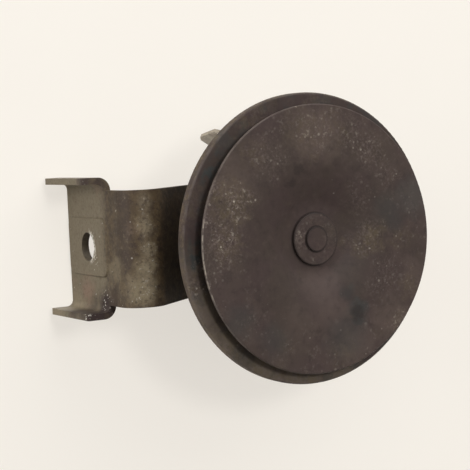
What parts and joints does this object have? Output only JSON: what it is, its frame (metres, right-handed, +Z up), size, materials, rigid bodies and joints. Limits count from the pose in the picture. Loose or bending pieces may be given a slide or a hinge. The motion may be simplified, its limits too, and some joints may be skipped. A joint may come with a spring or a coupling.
{
  "type": "car horn",
  "caption": "Disc horn with a dished tone disc in front of a crimped ring, a stepped rear housing and an arched mounting bracket with two folded ears.",
  "frame": {"origin": "centre of the bracket's bolt hole, on the face that seats against the vehicle", "axes": "-X out of the bracket's seat, -Y out of the tone disc along the horn's axis, +Z up"},
  "size_m": [0.1072, 0.0652, 0.0904],
  "materials": {
    "bracket_steel": "bare, oxidised, worn bright at hole and corners",
    "black_paint": "worn brown-black paint, dusty",
    "zinc": "dull zinc",
    "spring_steel": "cold rolled",
    "soft_iron": "turned, oxidised",
    "tinned_steel": "tinned, dull",
    "brass": "plain",
    "tungsten": "ground",
    "fibre_board": "laminated insulation",
    "gasket_paper": "oiled paper",
    "copper_wire": "enamelled wire",
    "ceramic": "cement body"
  },
  "bodies": {
    "root": {"bracket": "bracket_steel", "clamp_ring": "black_paint", "tone_disc": "black_paint", "tone_disc_washer": "black_paint", "rear_housing": "black_paint", "armature": "soft_iron", "magnet_core": "soft_iron", "diaphragm": "spring_steel", "disc_spacer": "soft_iron", "diaphragm_washer": "zinc", "front_gasket": "gasket_paper", "rear_gasket": "gasket_paper", "coil_bobbin": "fibre_board", "coil_winding": "copper_wire", "coil_retainer": "spring_steel", "contact_spring": "spring_steel", "moving_contact": "tungsten", "fixed_contact": "tungsten", "fixed_contact_arm": "zinc", "breaker_base_insulator": "fibre_board", "breaker_spacer_insulator": "fibre_board", "breaker_rivets": "zinc", "adjusting_screw": "zinc", "adjusting_nut": "zinc", "suppression_resistor": "ceramic", "terminal_insulator": "fibre_board", "terminal_inner_insulator": "fibre_board", "terminal_blade": "tinned_steel", "terminal_rivet": "brass", "coil_lead_tag": "brass", "lock_washer": "zinc", "mounting_nut": "zinc"}
  },
  "joints": []
}
